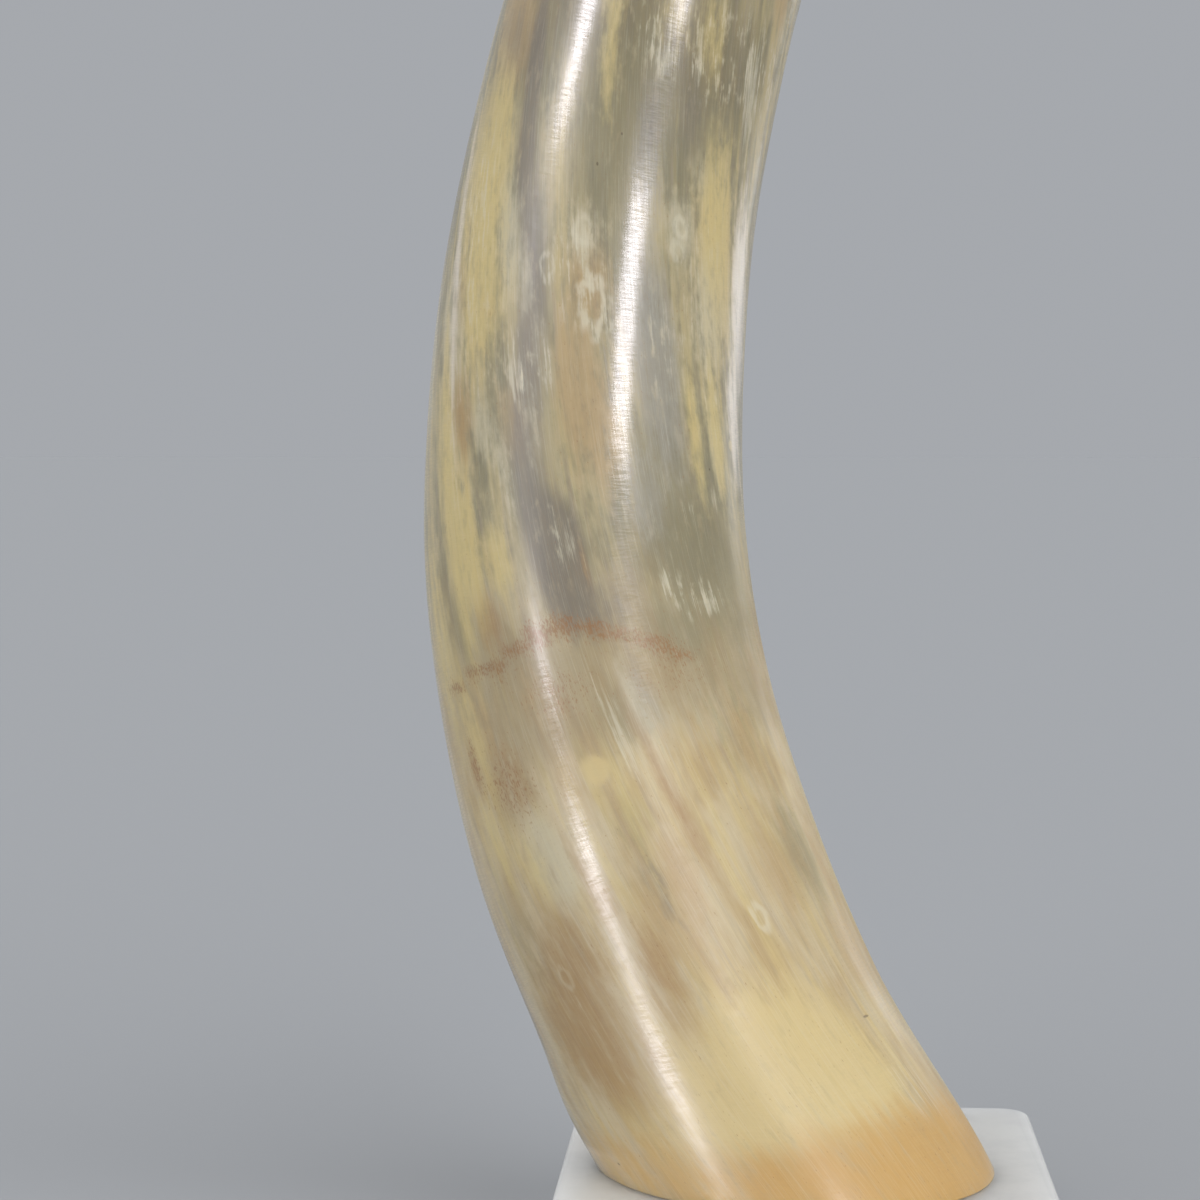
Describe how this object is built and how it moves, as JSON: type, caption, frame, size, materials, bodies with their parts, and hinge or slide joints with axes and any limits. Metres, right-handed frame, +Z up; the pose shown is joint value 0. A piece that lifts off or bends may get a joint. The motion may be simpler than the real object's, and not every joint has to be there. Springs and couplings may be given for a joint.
{
  "type": "polished cattle horn on stand",
  "caption": "Polished cattle horn with an S-shaped curve and a hollow base, standing upright on a square milky acrylic block with rounded corners.",
  "frame": {"origin": "middle of the stand block's underside", "axes": "+Z up, +Y away from a viewer of the horn's front, +X to that viewer's right, square to the block's sides"},
  "size_m": [0.1427, 0.1078, 0.545],
  "materials": {
    "horn": "natural horn, sanded and polished to a clear gloss, with fine lengthwise fibres and light scratches",
    "stand_block": "milky translucent acrylic with polished faces and eased edges"
  },
  "bodies": {
    "root": {"horn": "horn", "stand_block": "stand_block"}
  },
  "joints": []
}
